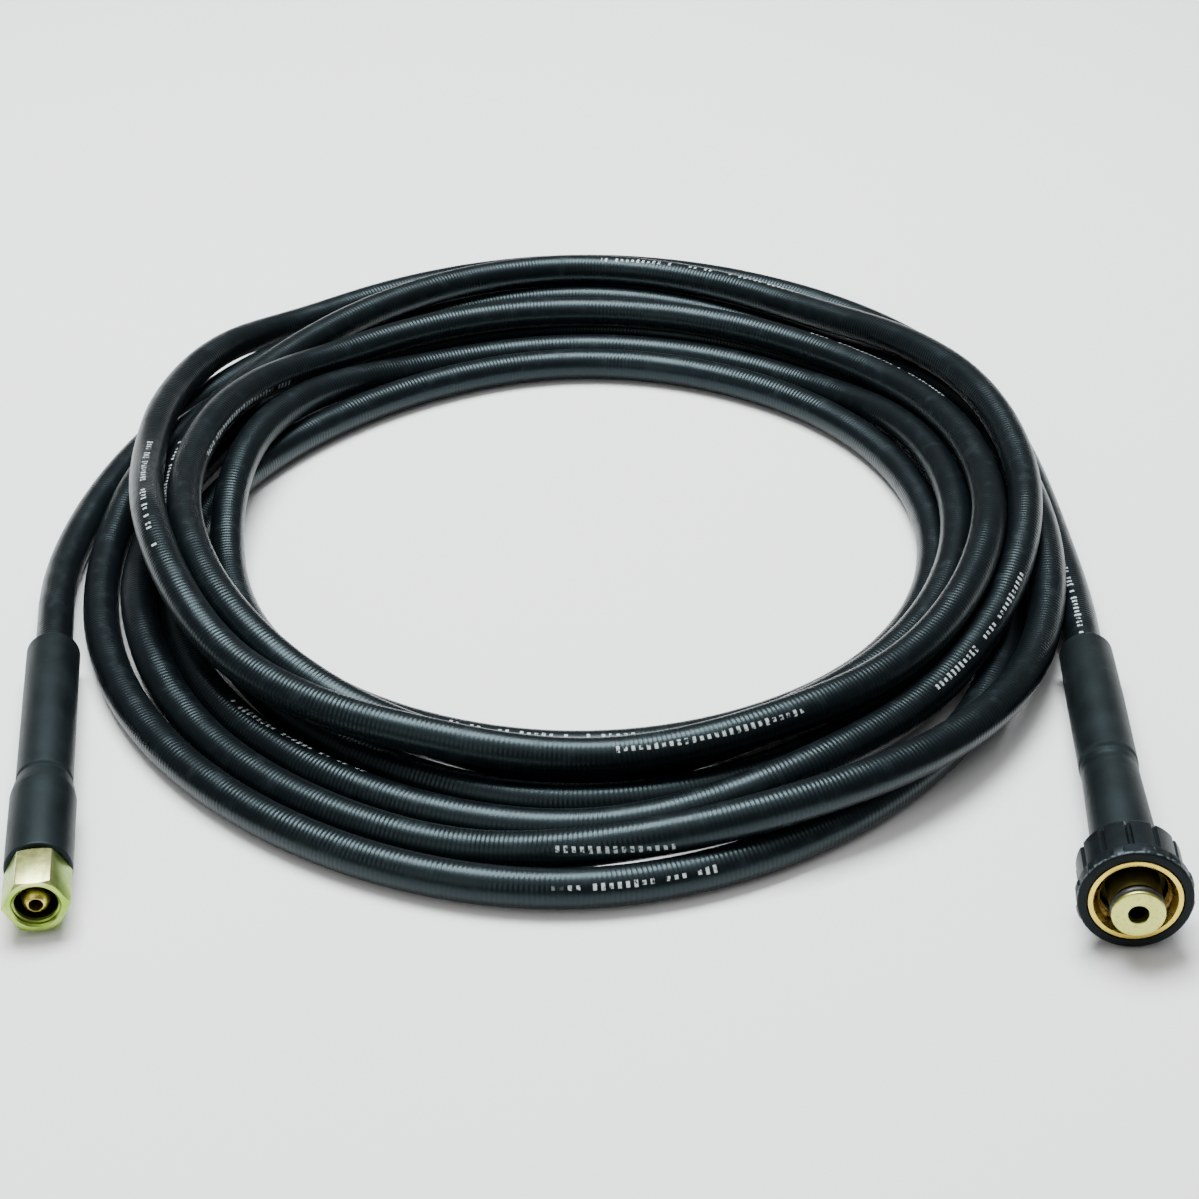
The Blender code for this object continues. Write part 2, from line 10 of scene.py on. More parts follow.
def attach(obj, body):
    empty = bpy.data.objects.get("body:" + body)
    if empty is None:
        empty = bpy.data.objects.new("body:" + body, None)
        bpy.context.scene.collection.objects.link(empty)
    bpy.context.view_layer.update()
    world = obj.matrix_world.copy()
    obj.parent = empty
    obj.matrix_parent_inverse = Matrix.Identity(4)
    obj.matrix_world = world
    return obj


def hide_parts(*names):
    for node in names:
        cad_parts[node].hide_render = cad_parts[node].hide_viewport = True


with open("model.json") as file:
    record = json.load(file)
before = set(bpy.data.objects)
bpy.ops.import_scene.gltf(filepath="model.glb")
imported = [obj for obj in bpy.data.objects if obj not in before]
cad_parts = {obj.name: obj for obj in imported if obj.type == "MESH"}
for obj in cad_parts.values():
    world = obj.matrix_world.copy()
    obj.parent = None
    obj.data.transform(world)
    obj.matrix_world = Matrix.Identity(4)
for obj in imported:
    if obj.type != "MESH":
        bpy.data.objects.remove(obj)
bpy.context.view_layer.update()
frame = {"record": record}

# The camera stands in front of the two fittings and looks down on the coil through a short
# telephoto lens, from the height and distance that give the photograph's own perspective.
PHOTO_SIDE = 1199
PHOTO_FOCUS = 2422
SENSOR = 36.0
LOOK_DOWN = math.radians(32.61)
CAMERA_PLACE = (0.0121, -0.7415, 0.4510)

camera_data = bpy.data.cameras.new("camera")
camera_data.sensor_width = SENSOR
camera_data.lens = SENSOR * PHOTO_FOCUS / PHOTO_SIDE
camera = bpy.data.objects.new("camera", camera_data)
camera.location = CAMERA_PLACE
camera.rotation_euler = (math.pi / 2 - LOOK_DOWN, 0.0, 0.0)
bpy.context.scene.collection.objects.link(camera)
bpy.context.scene.camera = camera


# The hose: 12 mm of black rubber over a steel braid, cured in a tape wrapping whose turns leave
# fine ribs round it. It lies in seven loose turns, each partly on the ones laid before it.
HOSE_DIAMETER = 0.012
HOSE_RADIUS = HOSE_DIAMETER / 2
HOSE_SIDES = 24
HOSE_BORE = 0.0068
HOSE_SEAT_DEPTH = 0.0260
# Where the hose ends in its fitting. All lengths along a fitting start where its straight part does
HOSE_END = 0.1080
SLEEVE_LEAD_IN = 0.010
COIL_CENTRE = (0.004048, -0.001544)
# The coil's radius at eight stations of each turn, clockwise from the left
COIL_RADII = (
    (0.1766, 0.182, 0.205, 0.184, 0.152, 0.172, 0.1985, 0.1815),
    (0.1638, 0.169, 0.191, 0.1712, 0.162, 0.180, 0.1865, 0.1686),
    (0.1508, 0.1545, 0.163, 0.157, 0.1392, 0.147, 0.158, 0.143),
    (0.1428, 0.163, 0.197, 0.1695, 0.157, 0.158, 0.171, 0.1558),
    (0.1366, 0.1255, 0.1315, 0.130, 0.1264, 0.129, 0.131, 0.127),
    (0.1238, 0.136, 0.1445, 0.1426, 0.134, 0.1375, 0.144, 0.1395),
    (0.137, 0.148, 0.157, 0.152, 0.144, 0.148, 0.152, 0.1522),
    (0.151, 0.193, 0.222, 0.199, 0.169),
)
STATIONS_PER_TURN = 8
LEFT_RUN_OUT = ((-0.1740, -0.0600), (-0.1775, -0.0300))
RIGHT_RUN_OUT = ((0.1695, -0.0400),)
STRAND_CLEARANCE = 0.0006
HUMP_RADIUS = 0.080
SAME_STRETCH = 0.100
# Stretches that lie under the rest of the coil, in turns counted from the left fitting
TUCKED_TURNS = ((3.90, 4.22), (7.38, 8.0))
ROUTE_STEP = 0.006
SAMPLES_PER_SPAN = 24
# For this many steps each end keeps the height and slope of its fitting
LEAD_IN_STEPS = 2
# A hump's slopes are drawn as if the pile could be this many hoses high
HIGHEST_PILE = 6
LAYING_PASSES = 10
EASING_PASSES = 4
EASING_WINDOW = 5


def fitting_frame(joint_name):
    """Where a fitting's straight part begins and which way it points, from its nut's joint."""
    joint = next(row for row in frame["record"]["behaviour"]["joints"] if row["name"] == joint_name)
    out = Vector(joint["axis"]).normalized()
    across = Vector((-out.y, out.x, 0.0)).normalized()
    placed = Matrix((across, out.cross(across), out)).transposed().to_4x4()
    placed.translation = joint["pos_m"]
    return placed


def smooth_curve(points, start_heading, end_heading):
    """Even steps along the smoothest curve through the points of the plan."""
    points = np.array(points)
    spans = np.hypot(*np.diff(points, axis=0).T)
    count = len(points)
    system = np.eye(count)
    wanted = np.zeros((count, 2))
    wanted[0] = start_heading
    wanted[-1] = end_heading
    for index in range(1, count - 1):
        before, after = spans[index - 1], spans[index]
        system[index, index - 1 : index + 2] = after, 2 * (before + after), before
        back = (points[index] - points[index - 1]) / before
        ahead = (points[index + 1] - points[index]) / after
        wanted[index] = 3 * (after * back + before * ahead)
    headings = np.linalg.solve(system, wanted)
    part = np.linspace(0.0, 1.0, SAMPLES_PER_SPAN, endpoint=False)[:, None]
    pieces = []
    for index, span in enumerate(spans):
        pieces.append(
            (2 * part**3 - 3 * part**2 + 1) * points[index]
            + (part**3 - 2 * part**2 + part) * span * headings[index]
            + (3 * part**2 - 2 * part**3) * points[index + 1]
            + (part**3 - part**2) * span * headings[index + 1]
        )
    fine = np.vstack([*pieces, points[-1:]])
    along = np.concatenate([[0.0], np.cumsum(np.hypot(*np.diff(fine, axis=0).T))])
    even = np.linspace(0.0, along[-1], round(along[-1] / ROUTE_STEP) + 1)
    return np.column_stack([np.interp(even, along, fine[:, axis]) for axis in (0, 1)])


def lay_down(plan, left_ramp, right_ramp):
    """The hose's height at each step: on the floor, or over the strands that lie under it."""
    count = len(plan)
    index = np.arange(count)
    offset = plan[:, None] - plan[None]
    apart = np.hypot(offset[..., 0], offset[..., 1])
    spacing = HOSE_DIAMETER + STRAND_CLEARANCE
    lift = np.sqrt(np.clip(spacing**2 - apart**2, 0.0, None))
    bearing = np.unwrap(np.arctan2(plan[:, 1], plan[:, 0]))
    turns = (bearing[0] - bearing) / math.tau
    tucked = sum((turns > first) & (turns < last) for first, last in TUCKED_TURNS) > 0
    laid = np.where(tucked, index - count, index)
    elsewhere = abs(index[None] - index[:, None]) * ROUTE_STEP > SAME_STRETCH
    rests_on = (laid[None] < laid[:, None]) & (apart < spacing) & elsewhere
    least = np.full(count, HOSE_RADIUS)
    for steps, (height, slope) in ((index, left_ramp), (count - 1 - index, right_ramp)):
        near = steps <= LEAD_IN_STEPS
        least[near] = height - slope * ROUTE_STEP * steps[near]
    heights = least
    reach = round(math.sqrt(2 * HUMP_RADIUS * HIGHEST_PILE * HOSE_DIAMETER) / ROUTE_STEP)
    side = EASING_WINDOW // 2
    for _ in range(LAYING_PASSES):
        need = np.maximum(np.where(rests_on, heights[None] + lift, 0.0).max(axis=1), least)
        heights = need.copy()
        for steps in range(1, reach):
            drop = (steps * ROUTE_STEP) ** 2 / (2 * HUMP_RADIUS)
            heights[steps:] = np.maximum(heights[steps:], need[:-steps] - drop)
            heights[:-steps] = np.maximum(heights[:-steps], need[steps:] - drop)
        for _ in range(EASING_PASSES):
            eased = heights.copy()
            shifted = (heights[shift : count - 2 * side + shift] for shift in range(EASING_WINDOW))
            eased[side:-side] = sum(shifted) / EASING_WINDOW
            heights = np.maximum(need, eased)
    return heights


def hose_route(left, right):
    """The hose's centreline from its end in the left fitting to its end in the right one."""
    entries = [fitting @ Vector((0.0, 0.0, -SLEEVE_LEAD_IN)) for fitting in (left, right)]
    slopes = [math.tan(math.asin(fitting.col[2].z)) for fitting in (left, right)]
    level = [np.array(fitting.col[2].xy.normalized()) for fitting in (left, right)]
    starts = [np.array(entry.xy) - COIL_CENTRE for entry in entries]
    coil = []
    for station, radius in enumerate(radius for turn in COIL_RADII for radius in turn):
        bearing = math.pi - station * math.tau / STATIONS_PER_TURN
        coil.append((radius * math.cos(bearing), radius * math.sin(bearing)))
    points = [starts[0], *LEFT_RUN_OUT, *coil, *RIGHT_RUN_OUT, starts[1]]
    plan = smooth_curve(points, -level[0], level[1])
    heights = lay_down(plan, (entries[0].z, slopes[0]), (entries[1].z, slopes[1]))
    ends = [np.array(fitting @ Vector((0.0, 0.0, HOSE_END))) for fitting in (left, right)]
    return np.vstack([ends[0], np.column_stack([plan + COIL_CENTRE, heights]), ends[1]])


# The stretches where the printed line shows: where each begins and ends, in metres along the hose,
# and how far round the line lies at both, in degrees from the top towards the coil's outside
PRINTED = (
    (1.000, 1.050, 50, 50),
    (2.130, 2.170, 95, 45),
    (3.360, 3.420, 20, 20),
    (3.660, 3.745, -20, 20),
    (3.985, 4.050, 42, 35),
    (4.250, 4.310, -36, 0),
    (5.015, 5.075, 14, 5),
    (6.125, 6.210, -75, -105),
    (6.440, 6.520, 25, 30),
    (6.740, 6.800, 50, 35),
    (6.990, 7.075, 25, -10),
    (7.690, 7.750, -20, -15),
)
HOSE_MAP = "hose_run"
PRINTED_MARK = "printed"


def hose_mesh(route):
    """The tube round the route, bored at both ends, with a map of metres along it and round it."""
    curve = bpy.data.curves.new("hose_line", "CURVE")
    curve.dimensions = "3D"
    curve.twist_mode = "Z_UP"
    curve.bevel_depth = HOSE_RADIUS
    curve.bevel_resolution = HOSE_SIDES // 2 - 2
    spline = curve.splines.new("POLY")
    spline.points.add(len(route) - 1)
    for point, place in zip(spline.points, route):
        point.co = (*place, 1.0)
    line = bpy.data.objects.new("hose_line", curve)
    bpy.context.scene.collection.objects.link(line)
    bpy.context.view_layer.update()
    graph = bpy.context.evaluated_depsgraph_get()
    mesh = bpy.data.meshes.new_from_object(line.evaluated_get(graph))
    bpy.data.objects.remove(line)

    shell = bmesh.new()
    shell.from_mesh(mesh)
    for old in list(shell.loops.layers.uv):
        shell.loops.layers.uv.remove(old)
    run = shell.loops.layers.uv.new(HOSE_MAP)
    steps = np.linalg.norm(np.diff(route, axis=0), axis=1)
    along = np.concatenate([[0.0], np.cumsum(steps)])
    heading = np.gradient(route, axis=0)
    level = heading[:, :2] / np.linalg.norm(heading[:, :2], axis=1)[:, None]
    # The coil winds clockwise, so its outside is on the left of the way along the hose
    outside = np.column_stack([-level[:, 1], level[:, 0]])
    stretches = np.array(PRINTED)
    print_roll = np.radians(np.interp(along, stretches[:, :2].ravel(), stretches[:, 2:].ravel()))
    printed = ((along[:, None] > stretches[:, 0]) & (along[:, None] < stretches[:, 1])).any(axis=1)
    shell.verts.ensure_lookup_table()
    points = np.array([vert.co for vert in shell.verts])
    rings = np.arange(len(points)) // HOSE_SIDES
    mark = shell.verts.layers.float.new(PRINTED_MARK)
    for vert, ring in zip(shell.verts, rings):
        vert[mark] = float(printed[ring])
    offset = points - route[rings]
    outwards = (offset[:, :2] * outside[rings]).sum(axis=1)
    roll = np.arctan2(outwards, offset[:, 2]) - print_roll[rings]
    for face in shell.faces:
        corners = [loop.vert.index for loop in face.loops]
        first = roll[corners[0]]
        rolls = [
            first + (roll[corner] - first + math.pi) % math.tau - math.pi for corner in corners
        ]
        middle = sum(rolls) / len(rolls)
        home = math.tau * round(middle / math.tau)
        for loop, corner, angle in zip(face.loops, corners, rolls):
            loop[run].uv = (along[rings[corner]], (angle - home) * HOSE_RADIUS)

    rims = [edge for edge in shell.edges if edge.is_boundary]
    for cap in bmesh.ops.holes_fill(shell, edges=rims, sides=0)["faces"]:
        cap.normal_update()
        middle = cap.calc_center_median()
        at_end = int(np.argmin(np.linalg.norm(route - np.array(middle), axis=1)))
        beside = Vector(route[1] if at_end == 0 else route[-2])
        inward = (beside - middle).normalized()
        bmesh.ops.inset_individual(shell, faces=[cap], thickness=HOSE_RADIUS - HOSE_BORE / 2)
        pit = bmesh.ops.extrude_discrete_faces(shell, faces=[cap])["faces"]
        floor = list(pit[0].verts)
        bmesh.ops.translate(shell, verts=floor, vec=inward * HOSE_SEAT_DEPTH)
    bmesh.ops.recalc_face_normals(shell, faces=shell.faces)
    shell.to_mesh(mesh)
    shell.free()
    return mesh


class Signal:
    """A value or colour on its way through a material, so that sums are written as plain sums."""

    def __init__(self, tree, socket=None):
        self.tree = tree
        self.socket = socket

    def node(self, kind, settings=(), sockets=(), output=0):
        """Adds any node: its settings first, then the values or signals of its sockets."""
        node = self.tree.nodes.new(kind)
        for name, value in dict(settings).items():
            setattr(node, name, value)
        for name, value in dict(sockets).items():
            if isinstance(value, Signal):
                self.tree.links.new(value.socket, node.inputs[name])
            else:
                node.inputs[name].default_value = value
        return Signal(self.tree, node.outputs[output])

    def sum(self, operation, other=None):
        """One Math node on this signal and, where the operation takes two, the other one."""
        values = {0: self} if other is None else {0: self, 1: other}
        return self.node("ShaderNodeMath", {"operation": operation}, values)

    def __add__(self, other):
        return self.sum("ADD", other)

    def __radd__(self, other):
        return self.sum("ADD", other)

    def __sub__(self, other):
        return self.sum("SUBTRACT", other)

    def __rsub__(self, other):
        return self.node("ShaderNodeMath", {"operation": "SUBTRACT"}, {0: other, 1: self})

    def __mul__(self, other):
        return self.sum("MULTIPLY", other)

    def __rmul__(self, other):
        return self.sum("MULTIPLY", other)

    def __truediv__(self, other):
        return self.sum("DIVIDE", other)

    def part(self, axis):
        return self.node("ShaderNodeSeparateXYZ", sockets={"Vector": self}, output=axis)

    def off_axis(self):
        """How far these coordinates lie from their own Z axis."""
        flat = self.node(
            "ShaderNodeVectorMath", {"operation": "MULTIPLY"}, {0: self, 1: (1.0, 1.0, 0.0)}
        )
        return flat.node("ShaderNodeVectorMath", {"operation": "LENGTH"}, {0: flat}, output="Value")

    def waves(self):
        """Goes from 0 to 1 and back once for each whole step of this signal."""
        return (self * math.tau).sum("SINE") * 0.5 + 0.5

    def rise(self, low, high):
        """0 below the low value and 1 above the high one, with a soft step between."""
        limits = {"Value": self, "From Min": low, "From Max": high}
        return self.node("ShaderNodeMapRange", {"interpolation_type": "SMOOTHSTEP"}, limits)

    def noise(self, scale, detail):
        """Smooth noise over these coordinates, with its grain finer for a larger scale."""
        sockets = {"Vector": self, "Scale": scale, "Detail": detail}
        return self.node("ShaderNodeTexNoise", sockets=sockets)

    def blend(self, low, high):
        """Passes from the low colour to the high one as this signal goes from 0 to 1."""
        low, high = ((*end, 1.0) if isinstance(end, tuple) else end for end in (low, high))
        sockets = {0: self, 6: low, 7: high}
        return self.node("ShaderNodeMix", {"data_type": "RGBA"}, sockets, output=2)


def new_finish(name, **uniform):
    """A material and the object coordinates that its pattern starts from."""
    material = bpy.data.materials.new(name)
    material.use_nodes = True
    shader = material.node_tree.nodes["Principled BSDF"]
    for socket, value in uniform.items():
        shader.inputs[socket.replace("_", " ")].default_value = value
    blank = Signal(material.node_tree)
    return material, blank.node("ShaderNodeTexCoord", output="Object")


def feed(material, colour, roughness, height=None, depth=0.0):
    """Leads the pattern to the shader, with its height as a bump of that depth in metres."""
    tree = material.node_tree
    shader = tree.nodes["Principled BSDF"]
    tree.links.new(colour.socket, shader.inputs["Base Color"])
    tree.links.new(roughness.socket, shader.inputs["Roughness"])
    if height is not None:
        bump = height.node("ShaderNodeBump", sockets={"Distance": depth, "Height": height})
        tree.links.new(bump.socket, shader.inputs["Normal"])


RIB_PITCH = 0.00145
DASH_PITCH = 0.0023
DASH_HALF_HEIGHT = 0.0012


def hose_finish():
    """Satin black rubber with the ribs of its wrapping, a little dust and a worn line of dashes."""
    tint = (0.66, 0.92, 1.0, 1.0)
    material, place = new_finish("hose_rubber", Specular_Tint=tint, Specular_IOR_Level=0.30)
    run = place.node("ShaderNodeUVMap", {"uv_map": HOSE_MAP})
    along, around = run.part("X"), run.part("Y")
    drift = place.noise(45.0, 2.0)
    ribs = (along / RIB_PITCH + drift * 1.5).waves()
    shown = place.noise(70.0, 3.0).rise(0.36, 0.60)
    grain = place.noise(2600.0, 3.0)
    dust = place.noise(190.0, 5.0).rise(0.50, 0.78)
    mark = ribs * (0.35 + shown * 0.65)

    cell = along / DASH_PITCH
    chance = cell.node(
        "ShaderNodeTexWhiteNoise", {"noise_dimensions": "1D"}, {"W": cell.sum("FLOOR")}
    )
    within = cell.sum("FRACT")
    dash = (1.0 - within.rise(0.42, 0.52)) * chance.rise(0.16, 0.18)
    tall = DASH_HALF_HEIGHT * (0.45 + chance * 0.55)
    line = 1.0 - (around.sum("ABSOLUTE") / tall).rise(0.85, 1.10)
    printed = place.node("ShaderNodeAttribute", {"attribute_name": PRINTED_MARK}, output="Fac")
    worn = place.noise(900.0, 3.0).rise(0.34, 0.52)
    ink = dash * line * printed.rise(0.45, 0.55) * worn

    rubber = (mark * 0.38 + dust * 0.34).blend((0.0014, 0.0022, 0.0030), (0.0085, 0.0128, 0.0150))
    colour = (ink * 0.9).blend(rubber, (0.50, 0.54, 0.55))
    roughness = 0.34 + dust * 0.12 + ink * 0.20 - mark * 0.05
    feed(material, colour, roughness, mark * 0.8 + grain * 0.3, 0.00009)
    return material


SHARP_ANGLE = math.radians(38)


def set_piece(name, mesh, material, body, slot, *nodes):
    """Adds a finished piece that rides on its body and stands for CAD nodes. The slot is not used.
    """
    mesh.name = name
    mesh.materials.clear()
    mesh.materials.append(material)
    mesh.shade_smooth()
    mesh.set_sharp_from_angle(angle=SHARP_ANGLE)
    piece = bpy.data.objects.new(name, mesh)
    bpy.context.scene.collection.objects.link(piece)
    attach(piece, body)
    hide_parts(*nodes)
    return piece


left = fitting_frame("hex_nut_spin")
right = fitting_frame("hand_nut_spin")
route = hose_route(left, right)
hose = set_piece("rubber_hose", hose_mesh(route), hose_finish(), "hose", "hose_rubber", "hose")
hose_length = float(np.linalg.norm(np.diff(route, axis=0), axis=1).sum())


# The sleeves: thick rubber mouldings pushed over the hose's ends, so that it doesn't kink where it
# leaves the stiff fittings. Each has a slim part on the hose and a wider one over the ferrule.
SLEEVE_BEGIN = 0.0060
SLEEVE_MOUTH = 0.1220
SLEEVE_BORE = 0.0063
SLEEVE_SLIM = 0.0086
SLEEVE_END_ROUND = 0.0018
LEFT_SHOULDER = (0.0800, 0.0880)
LEFT_THICK = 0.0099
RIGHT_BELLY = (0.0370, 0.0740)
RIGHT_BELLY_RADIUS = 0.0090
RIGHT_STEP_END = 0.0780
RIGHT_MOUTH = 0.0098
SLEEVE_STEPS = 72
STRETCH_RING_PITCH = 0.0046


def rounded(outline, segments=4):
    """A closed outline of (radius, along, rounding) corners, each rounded where it says so."""
    points = []
    count = len(outline)
    for index, (radius, along, rounding) in enumerate(outline):
        corner = Vector((radius, along))
        if not rounding:
            points.append(corner)
            continue
        back = Vector(outline[index - 1][:2]) - corner
        ahead = Vector(outline[(index + 1) % count][:2]) - corner
        half = back.angle(ahead) / 2
        reach = min(rounding / math.tan(half), 0.49 * back.length, 0.49 * ahead.length)
        inwards = (back.normalized() + ahead.normalized()).normalized()
        middle = corner + inwards * reach / math.cos(half)
        start = corner + back.normalized() * reach - middle
        end = corner + ahead.normalized() * reach - middle
        for step in range(segments + 1):
            share = step / segments
            spoke = (start * (1 - share) + end * share).normalized() * start.length
            points.append(middle + spoke)
    return points


def turned(outline, steps):
    """A closed outline spun once round the fitting's axis, as a shell with no seam."""
    shell = bmesh.new()
    corners = [shell.verts.new((radius, 0.0, along)) for radius, along in outline]
    edges = [shell.edges.new(pair) for pair in zip(corners, corners[1:] + corners[:1])]
    ends = {"cent": (0.0, 0.0, 0.0), "axis": (0.0, 0.0, 1.0), "angle": math.tau}
    bmesh.ops.spin(shell, geom=corners + edges, **ends, steps=steps, use_merge=True)
    bmesh.ops.remove_doubles(shell, verts=shell.verts, dist=1e-7)
    bmesh.ops.recalc_face_normals(shell, faces=shell.faces)
    return shell


def in_place(shell, fitting):
    """The shell as a mesh, moved from the fitting's own axis to where the fitting lies."""
    bmesh.ops.transform(shell, matrix=fitting, verts=shell.verts)
    mesh = bpy.data.meshes.new("shell")
    shell.to_mesh(mesh)
    shell.free()
    return mesh


def sleeve_outline(outer, mouth_radius):
    """Down the outer side from the nut to the coil, round the soft slim end and up the bore."""
    return rounded(
        [
            (mouth_radius, SLEEVE_MOUTH, 0.0008),
            *outer,
            (SLEEVE_SLIM, SLEEVE_BEGIN, SLEEVE_END_ROUND),
            (SLEEVE_BORE, SLEEVE_BEGIN, 0.0003),
            (SLEEVE_BORE, SLEEVE_MOUTH, 0.0004),
        ],
        segments=6,
    )


def lined_up(place, fitting):
    """The pattern's coordinates in the fitting's own frame: Z along its axis and Y upwards."""
    back = fitting.inverted()
    moved = {"Vector": place, "Rotation": back.to_euler(), "Location": back.translation}
    return place.node("ShaderNodeMapping", sockets=moved)


def sleeve_finish(name, fitting, creases):
    """Matt moulded rubber: soft mottling, faint rings where it stretches and scuffed high spots."""
    tint = (0.70, 0.94, 1.0, 1.0)
    material, place = new_finish(name, Specular_Tint=tint, Specular_IOR_Level=0.27)
    along = lined_up(place, fitting).part("Z")
    low, high = creases
    zone = along.rise(low - 0.006, low) * (1.0 - along.rise(high, high + 0.012))
    wander = place.noise(120.0, 2.0)
    rings = (along / STRETCH_RING_PITCH + wander * 1.2).waves()
    crease = along.rise(low - 0.0018, low - 0.0006) * (1.0 - along.rise(low + 0.0006, low + 0.0016))
    mottle = place.noise(85.0, 4.0)
    grain = place.noise(1900.0, 3.0)
    scuff = place.noise(260.0, 5.0).rise(0.56, 0.76)
    tone = mottle.rise(0.30, 0.72) * 0.55 + scuff * 0.25 + zone * rings * 0.08
    colour = tone.blend((0.0014, 0.0022, 0.0028), (0.0075, 0.0115, 0.0130))
    roughness = 0.44 + mottle * 0.12 - scuff * 0.08 + crease * 0.40
    feed(material, colour, roughness, grain * 0.35 + mottle * 0.5 + zone * rings * 0.22, 0.00016)
    return material


left_outer = [
    (LEFT_THICK, LEFT_SHOULDER[1], 0.0080),
    (SLEEVE_SLIM + 0.00010, LEFT_SHOULDER[0] + 0.0008, 0.0006),
    (SLEEVE_SLIM - 0.00022, LEFT_SHOULDER[0] - 0.0002, 0.0005),
    (SLEEVE_SLIM, LEFT_SHOULDER[0] - 0.0014, 0.0008),
]
left_sleeve = set_piece(
    "bend_sleeve_left",
    in_place(turned(sleeve_outline(left_outer, LEFT_THICK), SLEEVE_STEPS), left),
    sleeve_finish("sleeve_rubber_left", left, LEFT_SHOULDER),
    "hose",
    "sleeve_rubber",
    "sleeve_left",
)
right_outer = [
    (SLEEVE_SLIM, RIGHT_STEP_END, 0.0050),
    (RIGHT_BELLY_RADIUS, RIGHT_BELLY[1], 0.0025),
    (RIGHT_BELLY_RADIUS, RIGHT_BELLY[0], 0.0400),
]
right_sleeve = set_piece(
    "bend_sleeve_right",
    in_place(turned(sleeve_outline(right_outer, RIGHT_MOUTH), SLEEVE_STEPS), right),
    sleeve_finish("sleeve_rubber_right", right, (RIGHT_BELLY[1], RIGHT_STEP_END)),
    "hose",
    "sleeve_rubber",
    "sleeve_right",
)


# The left fitting: a swivel nut and the ball-nosed nipple that it holds, both turned from steel bar
# and zinc plated with a yellow passivation. The nut has milled flats and a thread in its mouth.
NUT_START = 0.1226
HEX_FLATS = 0.0170
# A corner would point up, so this turns a flat there
HEX_TURN = math.radians(30)
HEX_LENGTH = 0.0160
HEX_CHAMFER = 0.0012
HEX_CHAMFER_SLOPE = math.radians(30)
# How far the turned blank stands past the hex's corners, outwards and along
HEX_SPARE = 0.0003
HEX_SPARE_RISE = 0.00017
HEX_PRISM_SPARE = 0.0005
HEX_UPRIGHT_BREAK = 0.00025
HEX_EDGE_BREAK = 0.00012
HEX_STEPS = 96
HEX_BORE = 0.0067
HEX_MOUTH_CHAMFER = 0.0005
HEX_BACK_WALL = 0.0040
HEX_THREAD_PITCH = 0.0012
HEX_THREAD_DEPTH = 0.00045
HEX_THREAD_START = 0.0075
# Half of a thread's root and crest as shares of its pitch, and how deep its root sinks in the wall
THREAD_ROOT = 0.42
THREAD_CREST = 0.12
THREAD_SINK = 0.00005
SWIVEL_GAP = 0.0003
LEFT_NECK = 0.0043
BALL_DIAMETER = 0.0082
BALL_BORE = 0.0021
BALL_RECESS = 0.0002
BALL_STEPS = 12
# How far the ball runs from its widest ring towards its tip, in degrees
BALL_LEAN = 58
LEFT_COLLAR_LENGTH = 0.0030
LEFT_CONE_LENGTH = 0.0034
SHOULDER = 0.0059
TAIL = 0.0031
TAIL_BORE = 0.0020
TAIL_LENGTH = 0.0250
TAIL_RIBS = 4
HOSE_END_GAP = 0.0003
TAIL_RIB_START = 0.0040
TAIL_RIB_LENGTH = 0.0040
TAIL_RIB_DEPTH = 0.0003
NIPPLE_STEPS = 64
TURNING_PITCH = 0.00022


def thread(radius, depth, pitch, start, end, steps=48):
    """An inner thread's ridge, wound as a helix from its start to its end along the bore."""
    ridge = bmesh.new()
    flank, flat = pitch * THREAD_ROOT, pitch * THREAD_CREST
    root, crest = radius + THREAD_SINK, radius - depth
    outline = ((root, -flank), (crest, -flat), (crest, flat), (root, flank))
    corners = [ridge.verts.new((across, 0.0, start + flank + along)) for across, along in outline]
    face = ridge.faces.new(corners)
    turns = (end - start - 2 * flank) / pitch
    bmesh.ops.spin(
        ridge,
        geom=[face],
        cent=(0.0, 0.0, 0.0),
        axis=(0.0, 0.0, 1.0),
        dvec=(0.0, 0.0, pitch / steps),
        angle=math.tau * turns,
        steps=round(turns * steps),
    )
    bmesh.ops.recalc_face_normals(ridge, faces=ridge.faces)
    return ridge


def joined(shell, other):
    """Adds the other shell's faces to the first shell."""
    carrier = bpy.data.meshes.new("carrier")
    other.to_mesh(carrier)
    other.free()
    shell.from_mesh(carrier)
    bpy.data.meshes.remove(carrier)
    return shell


def tail_outline():
    """The ribbed tail that is crimped in the hose, back to front, and its bore."""
    barbs = []
    seat = HOSE_END + HOSE_END_GAP
    for rib in range(TAIL_RIBS):
        along = HOSE_END - TAIL_RIB_START - rib * TAIL_LENGTH / (TAIL_RIBS + 1)
        barbs += [
            (TAIL, along, 0.0),
            (TAIL - TAIL_RIB_DEPTH, along - TAIL_RIB_DEPTH, 0.0),
            (TAIL, along - TAIL_RIB_LENGTH, 0.0),
        ]
    end = HOSE_END - TAIL_LENGTH
    return [
        (SHOULDER, seat, 0.0003),
        (TAIL, seat, 0.0),
        *barbs,
        (TAIL, end, 0.0006),
        (TAIL_BORE, end, 0.0002),
    ]


